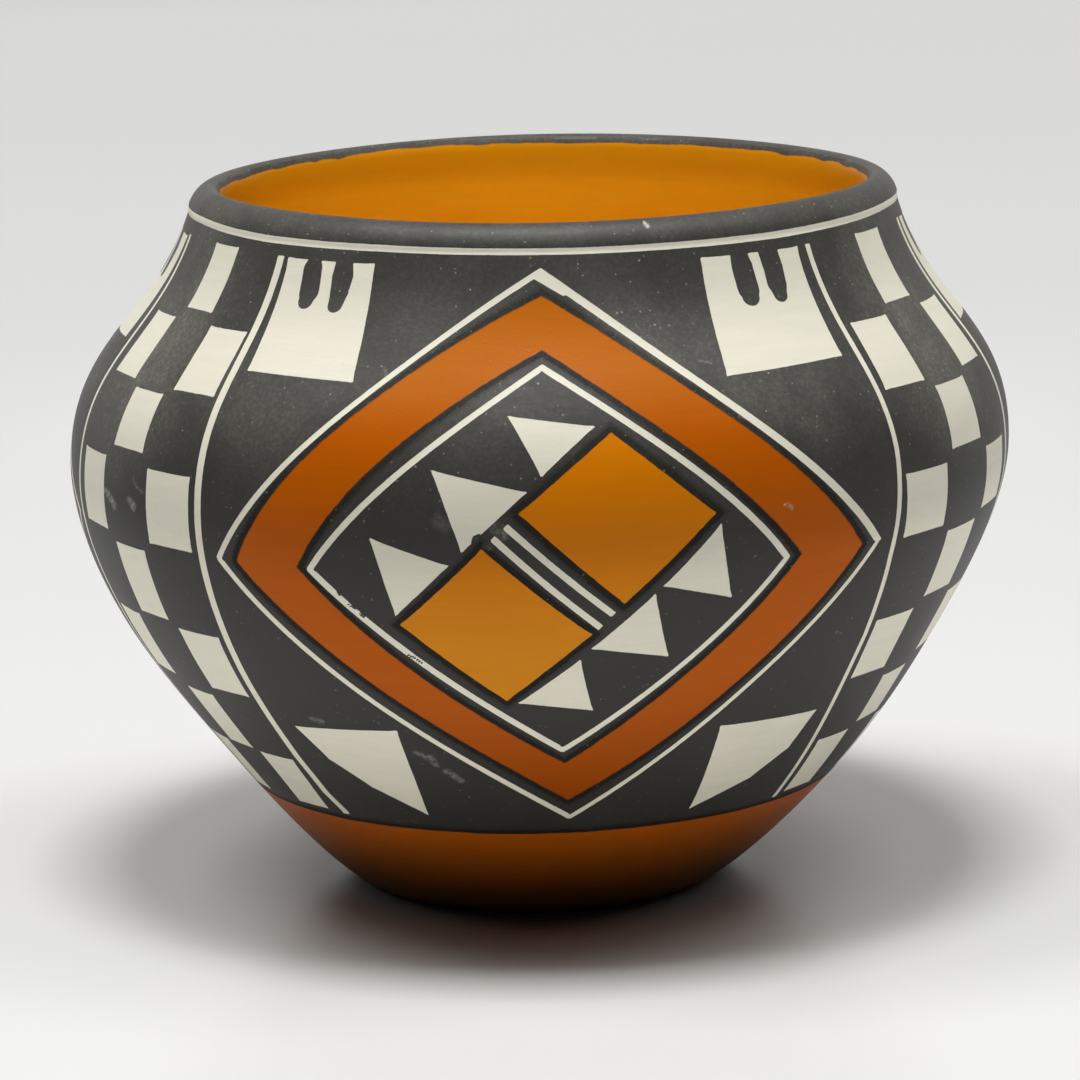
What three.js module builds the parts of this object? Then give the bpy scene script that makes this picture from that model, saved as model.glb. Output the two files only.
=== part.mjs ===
// Pueblo pottery bowl, hand-coiled earthenware, in millimetres with +Z up.
// The potter presses a base dish in a shallow mould, builds the wall from stacked coils of clay,
// and finishes it with a fatter coil rolled over into the lip. Each of those pieces is one mesh here.
// Every seam is a level ring, and the scraped wall runs through all of them as one smooth curve.
// The origin is on the resting surface, under the middle of the belly.

import * as THREE from 'three';

// Driving dimensions of the outside, from the foot to the neck.
const FOOT_RADIUS = 33.8;
const FOOT_FLARE_ANGLE = 16.4;
const FOOT_FLARE_LENGTH = 10.8;
const BELLY_RADIUS = 90;
const BELLY_HEIGHT = 84.5;
const BELLY_FULLNESS_BELOW = 28.4;
const BELLY_FULLNESS_ABOVE = 22.8;
const NECK_RADIUS = 67.4;
const NECK_HEIGHT = 131.5;
const NECK_ANGLE = 72.9;
const NECK_SWEEP = 22;

// Driving dimensions of the clay: the scraped wall, the dish and the rolled lip.
const WALL_THICKNESS = 6.2;
const FLOOR_THICKNESS = 7.5;
const FLOOR_RISE = 1.8;
const FLOOR_EDGE_INSET = 3.8;
const FLOOR_CORNER_HEIGHT = 4;
const RESTING_RING_WIDTH = 9.8;
const HOLLOW_DEPTH = 1.5;
const LIP_HEIGHT = 4.9;
const LIP_CREST_INSET = 3.6;
const LIP_SWELL = 0.4;
const LIP_SWELL_HEIGHT = 1.7;
const LIP_OUTER_ROUND = 2;
const LIP_OUTER_DROP = 0.4;
const LIP_INNER_ROUND = 2.6;
const LIP_INNER_RISE = 3.8;

// Where the clay is joined.
const DISH_HEIGHT = 22;
const RIM_COIL_NECK = 3.5;
const WALL_COILS = 7;

// How far the hand-built bowl strays from a turned one.
const OUT_OF_ROUND = 0.25;
const RIM_TILT = 0.3;
const RIM_WAVE = 0.25;
const LEAN = [
  { height: 0, shift: -1.7 },
  { height: 28, shift: -0.25 },
  { height: 55, shift: -1.1 },
  { height: BELLY_HEIGHT, shift: 0 },
  { height: 108, shift: 0.85 },
  { height: NECK_HEIGHT + 2 * LIP_HEIGHT, shift: 1.9 },
];

// How finely the curves are cut into facets.
const SIDES = 72;
const COIL_STEPS = 3;
const DISH_STEPS = 6;
const FLOOR_STEPS = 8;
const HOLLOW_STEPS = 3;
const LIP_STEPS = 5;
const CURVE_SAMPLES = 160;

const radians = THREE.MathUtils.degToRad;
const point = (radius, height) => new THREE.Vector2(radius, height);

// The outside of the wall: one curve from the foot to the belly, and one from the belly to the neck.
const footFlare = point(Math.cos(radians(FOOT_FLARE_ANGLE)), Math.sin(radians(FOOT_FLARE_ANGLE)));
const neckSweep = point(Math.cos(radians(NECK_ANGLE)), -Math.sin(radians(NECK_ANGLE)));
const foot = point(FOOT_RADIUS, 0);
const belly = point(BELLY_RADIUS, BELLY_HEIGHT);
const neck = point(NECK_RADIUS, NECK_HEIGHT);
const lowerWall = new THREE.CubicBezierCurve(
  foot,
  foot.clone().addScaledVector(footFlare, FOOT_FLARE_LENGTH),
  point(BELLY_RADIUS, BELLY_HEIGHT - BELLY_FULLNESS_BELOW),
  belly,
);
const upperWall = new THREE.CubicBezierCurve(
  belly,
  point(BELLY_RADIUS, BELLY_HEIGHT + BELLY_FULLNESS_ABOVE),
  neck.clone().addScaledVector(neckSweep, NECK_SWEEP),
  neck,
);
const outside = [...lowerWall.getPoints(CURVE_SAMPLES), ...upperWall.getPoints(CURVE_SAMPLES).slice(1)];

// The inside of the wall lies one wall thickness in from the outside, square to it.
const inside = offsetInwards(outside, WALL_THICKNESS);

function offsetInwards(curve, distance) {
  return curve.map((here, i) => {
    const before = curve[Math.max(i - 1, 0)];
    const after = curve[Math.min(i + 1, curve.length - 1)];
    const along = after.clone().sub(before).normalize();
    return point(here.x - along.y * distance, here.y + along.x * distance);
  });
}

// How far out a curve's points lie at a height.
function outAt(curve, height) {
  const i = curve.findIndex((p, k) => k > 0 && p.y >= height && curve[k - 1].y <= height);
  const [low, high] = [curve[i - 1], curve[i]];
  return THREE.MathUtils.mapLinear(height, low.y, high.y, low.x, high.x);
}

// Points on a curve at evenly spaced heights, both ends included.
function stretch(curve, from, to, steps) {
  return Array.from({ length: steps + 1 }, (_, i) => {
    const height = THREE.MathUtils.lerp(from, to, i / steps);
    return point(outAt(curve, height), height);
  });
}

const rimSeam = NECK_HEIGHT - RIM_COIL_NECK;

// The seams between the wall coils share the wall's length equally.
function seamHeights() {
  const wall = outside.filter((p) => p.y >= DISH_HEIGHT && p.y <= rimSeam);
  const reach = [0];
  for (let i = 1; i < wall.length; i += 1) {
    reach.push(reach[i - 1] + wall[i].distanceTo(wall[i - 1]));
  }
  const heights = [DISH_HEIGHT];
  for (let coil = 1; coil < WALL_COILS; coil += 1) {
    const target = (coil / WALL_COILS) * reach[reach.length - 1];
    heights.push(wall[reach.findIndex((length) => length >= target)].y);
  }
  return [...heights, rimSeam];
}

// The wall's own axis, which stands a little to the left of the origin below and to the right above.
const stations = LEAN.map(({ height, shift }) => point(shift, height));
const axis = new THREE.SplineCurve(stations).getPoints(CURVE_SAMPLES);

// Stands a turned shape upright and moves its points as the hand-built bowl strays:
// slightly oval, off plumb, and uneven at the rim.
function shapeByHand(geometry) {
  const position = geometry.attributes.position;
  const rimTop = NECK_HEIGHT + LIP_HEIGHT;
  for (let i = 0; i < position.count; i += 1) {
    const [x, y, height] = [position.getX(i), -position.getZ(i), position.getY(i)];
    const angle = Math.atan2(y, x);
    const swell = 1 + (OUT_OF_ROUND / BELLY_RADIUS) * Math.cos(2 * angle);
    const rimShare = THREE.MathUtils.smoothstep(height, rimSeam, rimTop);
    const unevenness = RIM_TILT * Math.sin(angle) - RIM_WAVE * Math.sin(3 * angle);
    position.setXYZ(i, x * swell + outAt(axis, height), y * swell, height + rimShare * unevenness);
  }
}

// Turns a profile about the upright axis and gives the piece its name and colour.
function clayPiece(name, profile, slip) {
  const geometry = new THREE.LatheGeometry(profile, SIDES);
  shapeByHand(geometry);
  geometry.deleteAttribute('uv');
  geometry.computeVertexNormals();
  const piece = new THREE.Mesh(geometry, slip);
  piece.name = name;
  return piece;
}

// The slips that the bowl is painted with.
const ochreSlip = new THREE.MeshStandardMaterial({ color: 0xc07a12, roughness: 0.55, metalness: 0 });
const blackSlip = new THREE.MeshStandardMaterial({ color: 0x3b3936, roughness: 0.7, metalness: 0 });

// The base dish: a hollow under the foot, the flared outside, and a thick rounded floor.
function baseDish() {
  const hollowRadius = FOOT_RADIUS - RESTING_RING_WIDTH;
  const hollow = new THREE.EllipseCurve(0, 0, hollowRadius, HOLLOW_DEPTH, Math.PI / 2, 0, true);
  const floor = new THREE.SplineCurve([
    ...stretch(inside, DISH_HEIGHT, DISH_HEIGHT - FLOOR_CORNER_HEIGHT, 1),
    point(FOOT_RADIUS - FLOOR_EDGE_INSET, FLOOR_THICKNESS + FLOOR_RISE),
    point(0, FLOOR_THICKNESS),
  ]);
  const profile = [
    ...hollow.getPoints(HOLLOW_STEPS),
    ...stretch(outside, 0, DISH_HEIGHT, DISH_STEPS),
    ...floor.getPoints(FLOOR_STEPS),
  ];
  return clayPiece('base_dish', profile, ochreSlip);
}

// A wall coil, from its lower seam to its upper one.
function wallCoil(number, bottom, top) {
  const profile = [
    ...stretch(outside, bottom, top, COIL_STEPS),
    ...stretch(inside, top, bottom, COIL_STEPS),
    point(outAt(outside, bottom), bottom),
  ];
  return clayPiece(`wall_coil_${number}`, profile, blackSlip);
}

// The rim coil: the top of the neck, and a lip rolled over to a crest nearer the inside.
function rimCoil() {
  const innerNeck = inside[inside.length - 1];
  const crest = point(NECK_RADIUS - LIP_CREST_INSET, NECK_HEIGHT + LIP_HEIGHT);
  const lipOutside = new THREE.CubicBezierCurve(
    neck,
    point(NECK_RADIUS + LIP_SWELL, NECK_HEIGHT + LIP_SWELL_HEIGHT),
    point(crest.x + LIP_OUTER_ROUND, crest.y - LIP_OUTER_DROP),
    crest,
  );
  const lipInside = new THREE.CubicBezierCurve(
    crest,
    point(crest.x - LIP_INNER_ROUND, crest.y),
    innerNeck.clone().addScaledVector(neckSweep, -LIP_INNER_RISE),
    innerNeck,
  );
  const profile = [
    ...stretch(outside, rimSeam, NECK_HEIGHT, 1),
    ...lipOutside.getPoints(LIP_STEPS).slice(1),
    ...lipInside.getPoints(LIP_STEPS).slice(1),
    point(outAt(inside, rimSeam), rimSeam),
    point(outAt(outside, rimSeam), rimSeam),
  ];
  return clayPiece('rim_coil', profile, blackSlip);
}

const bowl = new THREE.Group();
bowl.add(baseDish());
const seams = seamHeights();
for (let coil = 1; coil <= WALL_COILS; coil += 1) {
  bowl.add(wallCoil(coil, seams[coil - 1], seams[coil]));
}
bowl.add(rimCoil());

export default bowl;
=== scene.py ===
# %% [markdown]
# # A painted pueblo bowl
#
# A pueblo bowl is built by hand. The potter presses a base into a shallow mould, stacks coils of clay on it,
# pinches and scrapes them to one thin wall, and rolls the last coil over into a lip. Slips, which are clays
# thinned with water, are then brushed on and rubbed with a stone.
#
# The CAD model holds the same nine pieces of clay: a base dish, seven wall coils and a rim coil. This script
# keeps them as the frame. It builds each one again with a finer skin, paints that skin, and lights it.

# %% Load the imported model
import math
from functools import reduce

import bpy
import numpy as np
from mathutils import Matrix, Vector


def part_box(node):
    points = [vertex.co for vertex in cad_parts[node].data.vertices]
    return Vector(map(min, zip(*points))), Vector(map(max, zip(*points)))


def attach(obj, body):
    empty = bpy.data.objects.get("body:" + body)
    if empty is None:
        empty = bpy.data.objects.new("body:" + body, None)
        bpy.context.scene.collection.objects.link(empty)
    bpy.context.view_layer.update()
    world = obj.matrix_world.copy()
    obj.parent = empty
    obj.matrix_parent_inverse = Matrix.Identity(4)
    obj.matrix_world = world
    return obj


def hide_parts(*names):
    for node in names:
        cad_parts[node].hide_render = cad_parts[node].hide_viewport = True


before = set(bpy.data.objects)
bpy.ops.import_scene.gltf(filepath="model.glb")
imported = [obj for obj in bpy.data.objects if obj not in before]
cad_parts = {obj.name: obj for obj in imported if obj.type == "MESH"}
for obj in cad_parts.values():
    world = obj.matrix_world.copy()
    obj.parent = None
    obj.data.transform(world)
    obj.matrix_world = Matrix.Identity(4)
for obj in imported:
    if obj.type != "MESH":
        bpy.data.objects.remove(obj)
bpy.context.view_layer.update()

MM = 0.001
print("pieces of clay in the frame:", ", ".join(sorted(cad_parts)))

# %% [markdown]
# ## The camera
#
# The camera comes first, because everything else is judged through it. It looks a little down into the
# mouth, through a long lens and from about 85 cm away. The photograph leans by a degree, so the camera is
# rolled. Its three directions are worked out from the pitch and the roll, which keeps the two angles
# readable. Euler angles would do as well, but they hide what each number means.

# %% Camera
CAMERA_PLACE = Vector((-0.0003, -0.850, 0.2425))
CAMERA_PITCH = math.radians(11.78)
CAMERA_ROLL = math.radians(1.25)
CAMERA_LENS = 149.0

ahead = Vector((0, math.cos(CAMERA_PITCH), -math.sin(CAMERA_PITCH)))
level_right = Vector((1, 0, 0))
level_up = level_right.cross(ahead)
right = level_right * math.cos(CAMERA_ROLL) - level_up * math.sin(CAMERA_ROLL)
up = level_up * math.cos(CAMERA_ROLL) + level_right * math.sin(CAMERA_ROLL)

lens = bpy.data.cameras.new("camera")
lens.lens = CAMERA_LENS
lens.sensor_width = 36
lens.clip_start, lens.clip_end = 0.01, 50
camera = bpy.data.objects.new("camera", lens)
camera.matrix_world = Matrix.Translation(CAMERA_PLACE) @ Matrix((right, up, -ahead)).transposed().to_4x4()
bpy.context.collection.objects.link(camera)
bpy.context.scene.camera = camera
print("camera looks", [round(part, 3) for part in ahead])

# %% [markdown]
# ## The curve of the wall
#
# Every piece of clay shares one wall, so the wall is described once, as a curve of radius against height.
# Two Bezier curves meet at the belly: one rises from the flared foot, the other closes in to the neck.
# They repeat the sizes of the CAD model. All sizes of the bowl are in millimetres, as a potter would
# measure them, and turn into Blender's metres only when a mesh is made.

# %% Sizes of the outside
FOOT_RADIUS = 33.8
FOOT_FLARE_ANGLE = math.radians(16.4)
FOOT_FLARE_LENGTH = 10.8
BELLY_RADIUS = 90.0
BELLY_HEIGHT = 84.5
BELLY_FULLNESS_BELOW = 28.4
BELLY_FULLNESS_ABOVE = 22.8
NECK_RADIUS = 67.4
NECK_HEIGHT = 131.5
NECK_ANGLE = math.radians(72.9)
NECK_SWEEP = 22.0
CURVE_STEPS = 400


def bezier(start, pull_start, pull_end, end, steps=CURVE_STEPS):
    """Points along a cubic Bezier curve, as rows of radius and height."""
    t = np.linspace(0, 1, steps + 1)[:, None]
    start, pull_start, pull_end, end = (np.array(p, float) for p in (start, pull_start, pull_end, end))
    leaving = (1 - t) ** 3 * start + 3 * (1 - t) ** 2 * t * pull_start
    return leaving + 3 * (1 - t) * t**2 * pull_end + t**3 * end


# %% The outside as one curve
foot = np.array((FOOT_RADIUS, 0))
belly = np.array((BELLY_RADIUS, BELLY_HEIGHT))
neck = np.array((NECK_RADIUS, NECK_HEIGHT))
foot_flare = FOOT_FLARE_LENGTH * np.array((math.cos(FOOT_FLARE_ANGLE), math.sin(FOOT_FLARE_ANGLE)))
neck_sweep = np.array((math.cos(NECK_ANGLE), -math.sin(NECK_ANGLE)))
lower_wall = bezier(foot, foot + foot_flare, belly - (0, BELLY_FULLNESS_BELOW), belly)
upper_wall = bezier(belly, belly + (0, BELLY_FULLNESS_ABOVE), neck + NECK_SWEEP * neck_sweep, neck)
outside = np.vstack((lower_wall, upper_wall[1:]))


def lengths_along(curve):
    """The distance travelled along a curve, at each of its points."""
    return np.concatenate(((0,), np.cumsum(np.hypot(*np.diff(curve, axis=0).T))))


outside_length = lengths_along(outside)
print(f"wall from foot to neck: {outside_length[-1]:.1f} mm along the clay")

# %% [markdown]
# ## The inside, the dish and the lip
#
# The inside of the wall is the same curve moved square to itself by the thickness of the clay. The base
# dish adds a thick rounded floor and a shallow hollow underneath, so that the bowl stands on a ring. The
# lip is two more Bezier curves that meet at its crest, which lies nearer the inside.

# %% Sizes of the clay
WALL_THICKNESS = 6.2
FLOOR_THICKNESS = 7.5
FLOOR_RISE = 1.8
FLOOR_EDGE_INSET = 3.8
FLOOR_CORNER_HEIGHT = 4.0
RESTING_RING_WIDTH = 9.8
HOLLOW_DEPTH = 1.5
LIP_HEIGHT = 4.9
LIP_CREST_INSET = 3.6
LIP_SWELL = 0.4
LIP_SWELL_HEIGHT = 1.7
LIP_OUTER_ROUND = 2.0
LIP_OUTER_DROP = 0.4
LIP_INNER_ROUND = 2.6
LIP_INNER_RISE = 3.8

# %% The inside as one curve
heading = np.gradient(outside, axis=0)
heading /= np.hypot(*heading.T)[:, None]
inside = outside + WALL_THICKNESS * np.column_stack((-heading[:, 1], heading[:, 0]))


def reach_at(curve, height):
    """How far out a rising curve lies at the given heights."""
    return np.interp(height, curve[:, 1], curve[:, 0])


# The first points of the inside belong to the foot's flare, where they fold back under the floor.
inside = inside[np.argmin(inside[:, 1]) :]
print(f"inside radius at the belly: {reach_at(inside, BELLY_HEIGHT):.1f} mm")

# %% [markdown]
# ## How a hand-built bowl strays
#
# No bowl built by hand is truly round or upright. This one leans by up to two millimetres, its plan is
# slightly oval, and its rim rises and dips. The lean is a smooth curve through a few heights. A
# Catmull-Rom spline passes through every one of them, which a Bezier curve wouldn't.

# %% Lean of the wall
OUT_OF_ROUND = 0.25
RIM_TILT = 0.3
RIM_WAVE = 0.25
LEAN = (
    (0, -1.7),
    (28, -0.25),
    (55, -1.1),
    (BELLY_HEIGHT, 0),
    (108, 0.85),
    (NECK_HEIGHT + 2 * LIP_HEIGHT, 1.9),
)


def catmull_rom(points, steps=40):
    """A smooth curve that passes through every point."""
    points = np.array(points, float)
    ends = np.vstack((points[:1], points, points[-1:]))
    t = np.linspace(0, 1, steps)[:, None]
    parts = []
    for before, here, there, after in zip(ends, ends[1:], ends[2:], ends[3:]):
        leave, arrive = (there - before) / 2, (after - here) / 2
        cubic = 2 * here - 2 * there + leave + arrive
        square = -3 * here + 3 * there - 2 * leave - arrive
        parts.append(cubic * t**3 + square * t**2 + leave * t + here)
    return np.vstack(parts)


lean_curve = catmull_rom(LEAN)


def lean_at(height):
    """How far the wall's axis has moved sideways at the given heights."""
    return np.interp(height, lean_curve[:, 0], lean_curve[:, 1])


print(f"lean at the foot {lean_at(0):.1f} mm, at the rim {lean_at(NECK_HEIGHT):.1f} mm")

# %% [markdown]
# ## Where each piece begins and ends
#
# The seams between the pieces are level rings. Their heights are read from the CAD model, so each finer
# piece fills exactly the place of its plain one. The painting needs a second measure: how far a point is
# along the clay from the top of the dish, which is where the black ground starts.

# %% Seams
WALL_COILS = 7
DISH_HEIGHT = 22.0
seams = [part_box(f"wall_coil_{coil}")[0].z / MM for coil in range(1, WALL_COILS + 1)]
seams.append(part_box(f"wall_coil_{WALL_COILS}")[1].z / MM)
dish_length = np.interp(DISH_HEIGHT, outside[:, 1], outside_length)


def along_at(height):
    """Distance along the outside from the top of the dish. Past the neck, mm count on over the lip."""
    past_neck = np.maximum(height - NECK_HEIGHT, 0)
    return np.interp(height, outside[:, 1], outside_length) - dish_length + past_neck


def height_at(along):
    """The height of a point that far along the outside."""
    return np.interp(along + dish_length, outside_length, outside[:, 1])


def radius_at(along):
    """The radius of the wall that far along the outside."""
    return np.interp(along + dish_length, outside_length, outside[:, 0])


print("seams at", ", ".join(f"{height:.1f}" for height in seams), "mm")

# %% [markdown]
# ## Profiles
#
# A profile is the outline of a piece, cut through on one side of the axis. Each of its points becomes a
# ring of the finished mesh. The painted skin gets a ring every 0.34 mm, so that the edges of the brushwork
# can be stored on it. The inside has broad rings, because it is one plain colour. The third number of
# each point says how far along the clay it is, and INNER marks the unpainted inside.

# %% Helpers for profiles
RING_SPACING = 0.34
INNER = 500.0


def rows(points, along):
    """Profile rows of radius, height and distance along the clay."""
    points = np.array(points, float)
    return np.column_stack((points, np.broadcast_to(along, len(points))))


def skin(low, high, spacing=RING_SPACING):
    """The painted outside between two heights, both included."""
    ends = along_at(low), along_at(high)
    along = np.linspace(*ends, round((ends[1] - ends[0]) / spacing) + 1)
    heights = height_at(along)
    heights[0], heights[-1] = low, high
    return rows(np.column_stack((radius_at(along), heights)), along)


def lining(high, low, steps):
    """The inside between two heights, from the top down."""
    heights = np.linspace(high, low, steps + 1)
    return rows(np.column_stack((reach_at(inside, heights), heights)), INNER)


def closed_outline(*parts):
    """Rows that end where they begin."""
    return np.vstack((*parts, parts[0][:1]))


# %% Profile of a wall coil
LINING_STEPS = 8


def coil_profile(low, high):
    """A closed outline: up the outside, across the upper seam, down the inside and back."""
    return closed_outline(skin(low, high), lining(high, low, LINING_STEPS))


# %% Profile of the base dish
BASE_RING_SPACING = 0.75
HOLLOW_STEPS = 8
RESTING_RING_POINTS = 5
UNDERSIDE_PAST_FOOT = 1.0
FLOOR_STEPS = 5
SAME_POINT = 0.001


def dish_profile():
    """From the middle of the hollow out to the foot, up to the first seam, and over the floor."""
    hollow_radius = FOOT_RADIUS - RESTING_RING_WIDTH
    turn = np.linspace(0, math.pi / 2, HOLLOW_STEPS + 1)
    hollow = np.column_stack((hollow_radius * np.sin(turn), HOLLOW_DEPTH * np.cos(turn)))
    hollow[0, 0], hollow[-1, 1] = 0, 0
    ring = np.linspace((hollow_radius, 0), (FOOT_RADIUS, 0), RESTING_RING_POINTS)[1:-1]
    under = rows(np.vstack((hollow, ring)), along_at(0) - UNDERSIDE_PAST_FOOT)
    corner = DISH_HEIGHT - FLOOR_CORNER_HEIGHT
    stations = (
        (reach_at(inside, DISH_HEIGHT), DISH_HEIGHT),
        (reach_at(inside, corner), corner),
        (FOOT_RADIUS - FLOOR_EDGE_INSET, FLOOR_THICKNESS + FLOOR_RISE),
        (0, FLOOR_THICKNESS),
    )
    floor = catmull_rom(stations, FLOOR_STEPS)
    not_repeated = np.append(True, np.hypot(*np.diff(floor, axis=0).T) > SAME_POINT)
    return np.vstack((under, skin(0, DISH_HEIGHT, BASE_RING_SPACING), rows(floor[not_repeated], INNER)))


# %% Profile of the rim coil
LIP_STEPS = 16
NECK_RING_SPACING = 0.35
NECK_LINING_STEPS = 2


def rim_profile():
    """Up the last of the neck, over the lip and down the inside to the seam."""
    inner_neck = inside[-1]
    crest = neck + (-LIP_CREST_INSET, LIP_HEIGHT)
    swell = neck + (LIP_SWELL, LIP_SWELL_HEIGHT)
    outer_round = crest + (LIP_OUTER_ROUND, -LIP_OUTER_DROP)
    inner_round = crest - (LIP_INNER_ROUND, 0)
    inner_rise = inner_neck - LIP_INNER_RISE * neck_sweep
    lip_outside = bezier(neck, swell, outer_round, crest, LIP_STEPS)
    lip_inside = bezier(crest, inner_round, inner_rise, inner_neck, LIP_STEPS)
    lip = np.vstack((lip_outside, lip_inside[1:]))
    lip_rows = rows(lip, along_at(NECK_HEIGHT) + lengths_along(lip))
    neck_rows = skin(seams[-1], NECK_HEIGHT, NECK_RING_SPACING)
    neck_lining = lining(inner_neck[1], seams[-1], NECK_LINING_STEPS)
    return closed_outline(neck_rows, lip_rows[1:], neck_lining[1:])


profiles = {"base_dish": dish_profile(), "rim_coil": rim_profile()}
for coil in range(WALL_COILS):
    profiles[f"wall_coil_{coil + 1}"] = coil_profile(seams[coil], seams[coil + 1])
print("rings in each profile:", {name: len(profile) for name, profile in profiles.items()})

# %% [markdown]
# ## Turning a profile by hand
#
# Each piece follows one rule: a profile is carried round the axis and strays a little on the way. That is
# a job for Geometry Nodes. The tree makes a grid with one row for each profile point and one column for
# each step round the bowl, then moves every grid point to its place. A Screw modifier would also turn a
# profile, but it couldn't lean, swell or tilt the result, and its settings wouldn't be named.
#
# Small helpers keep the tree readable. They add a node, and link or fill its inputs in one call.

# %% Helpers for node trees


def add(tree, kind, inputs=None, **settings):
    """Adds a node. Inputs are given by name or number, as a value or as the socket that feeds them."""
    made = tree.nodes.new(kind)
    for name, value in settings.items():
        setattr(made, name, value)
    for socket, value in (inputs or {}).items():
        if isinstance(value, bpy.types.NodeSocket):
            tree.links.new(value, made.inputs[socket])
        else:
            made.inputs[socket].default_value = value
    return made


def maths(tree, operation, *values, **settings):
    """Adds a Math node and returns what it puts out."""
    inputs = dict(enumerate(values))
    return add(tree, "ShaderNodeMath", inputs, operation=operation, **settings).outputs[0]


def folded(tree, operation, *values):
    """Joins values by one operation, from the first to the last."""
    return reduce(lambda so_far, value: maths(tree, operation, so_far, value), values)


def ramp(tree, value, low, high, at_low=0.0, at_high=1.0, curve="LINEAR"):
    """A value carried over from one range to another, and held at its ends."""
    inputs = {"Value": value, "From Min": low, "From Max": high, "To Min": at_low, "To Max": at_high}
    return add(tree, "ShaderNodeMapRange", inputs, interpolation_type=curve).outputs["Result"]


def new_tree(name, kind, inputs, outputs):
    """A node tree with named sockets, its input node and its output node."""
    tree = bpy.data.node_groups.new(name, kind)
    for direction, sockets in (("INPUT", inputs), ("OUTPUT", outputs)):
        for label, (value_type, default) in sockets.items():
            socket_type = f"NodeSocket{value_type}"
            socket = tree.interface.new_socket(label, in_out=direction, socket_type=socket_type)
            if default is not None:
                socket.default_value = default
    return tree, tree.nodes.new("NodeGroupInput").outputs, tree.nodes.new("NodeGroupOutput").inputs


# %% The turning tree: rows and columns
SIDES = 1440
RIM_STARTS_BELOW_NECK = 3.5
CREASE_ANGLE = math.radians(35)

turning, given, result = new_tree(
    "turned by hand",
    "GeometryNodeTree",
    {
        "Profile": ("Geometry", None),
        "Sides": ("Int", SIDES),
        "Out of Round": ("Float", OUT_OF_ROUND / BELLY_RADIUS),
        "Rim Tilt": ("Float", RIM_TILT * MM),
        "Rim Wave": ("Float", RIM_WAVE * MM),
        "Rim Starts At": ("Float", (NECK_HEIGHT - RIM_STARTS_BELOW_NECK) * MM),
        "Rim Ends At": ("Float", (NECK_HEIGHT + LIP_HEIGHT) * MM),
        "Crease Angle": ("Float", CREASE_ANGLE),
        "Clay": ("Material", None),
    },
    {"Piece": ("Geometry", None)},
)
turning.is_modifier = True

size = add(turning, "GeometryNodeAttributeDomainSize", {"Geometry": given["Profile"]}, component="MESH")
ring_count = size.outputs["Point Count"]
column_count = maths(turning, "ADD", given["Sides"], 1.0)
grid = add(turning, "GeometryNodeMeshGrid", {"Vertices X": column_count, "Vertices Y": ring_count})
index = turning.nodes.new("GeometryNodeInputIndex").outputs[0]
ring = maths(turning, "MODULO", index, ring_count)
column = maths(turning, "FLOOR", maths(turning, "DIVIDE", index, ring_count))
turn = maths(turning, "MULTIPLY", maths(turning, "DIVIDE", column, given["Sides"]), 2 * math.pi)
print("turning tree: one grid point for each ring and each step round the bowl")

# %% The turning tree: place of each point


def from_profile(value, data_type):
    """What the profile holds at the ring that a grid point belongs to."""
    inputs = {"Geometry": given["Profile"], "Index": ring, "Value": value}
    return add(turning, "GeometryNodeSampleIndex", inputs, data_type=data_type).outputs["Value"]


def stored(name):
    """A number that is stored on the profile's points."""
    named = add(turning, "GeometryNodeInputNamedAttribute", {"Name": name}, data_type="FLOAT")
    return from_profile(named.outputs["Attribute"], "FLOAT")


profile_place = from_profile(turning.nodes.new("GeometryNodeInputPosition").outputs[0], "FLOAT_VECTOR")
profile_xyz = add(turning, "ShaderNodeSeparateXYZ", {0: profile_place}).outputs
radius, height = profile_xyz["X"], profile_xyz["Z"]
oval = maths(turning, "COSINE", maths(turning, "MULTIPLY", turn, 2.0))
swell = maths(turning, "MULTIPLY_ADD", oval, given["Out of Round"], 1.0)
swollen = maths(turning, "MULTIPLY", radius, swell)
x = maths(turning, "MULTIPLY_ADD", maths(turning, "COSINE", turn), swollen, stored("lean"))
y = maths(turning, "MULTIPLY", maths(turning, "SINE", turn), swollen)

rim_share = ramp(turning, height, given["Rim Starts At"], given["Rim Ends At"], curve="SMOOTHSTEP")
tilt = maths(turning, "MULTIPLY", maths(turning, "SINE", turn), given["Rim Tilt"])
three_waves = maths(turning, "SINE", maths(turning, "MULTIPLY", turn, 3.0))
wave = maths(turning, "MULTIPLY", three_waves, given["Rim Wave"])
z = maths(turning, "MULTIPLY_ADD", maths(turning, "SUBTRACT", tilt, wave), rim_share, height)
place = add(turning, "ShaderNodeCombineXYZ", {0: x, 1: y, 2: z}).outputs[0]
print("turning tree: radius swells, axis leans, rim tilts and waves")

# %% [markdown]
# The grid is a flat sheet until its points are moved, so its two ends meet at one side of the bowl
# without being joined. Merging by distance closes that seam, the outline of each coil, and the middle of
# the base. The sharp corners at the seams are marked, so that smooth shading doesn't bend round them.

# %% The turning tree: closing the skin


def then(so_far, kind, inputs=None, **settings):
    """Adds a node that takes the piece so far, and returns the piece that it puts out."""
    return add(turning, kind, {"Geometry": so_far, **(inputs or {})}, **settings).outputs[0]


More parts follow.
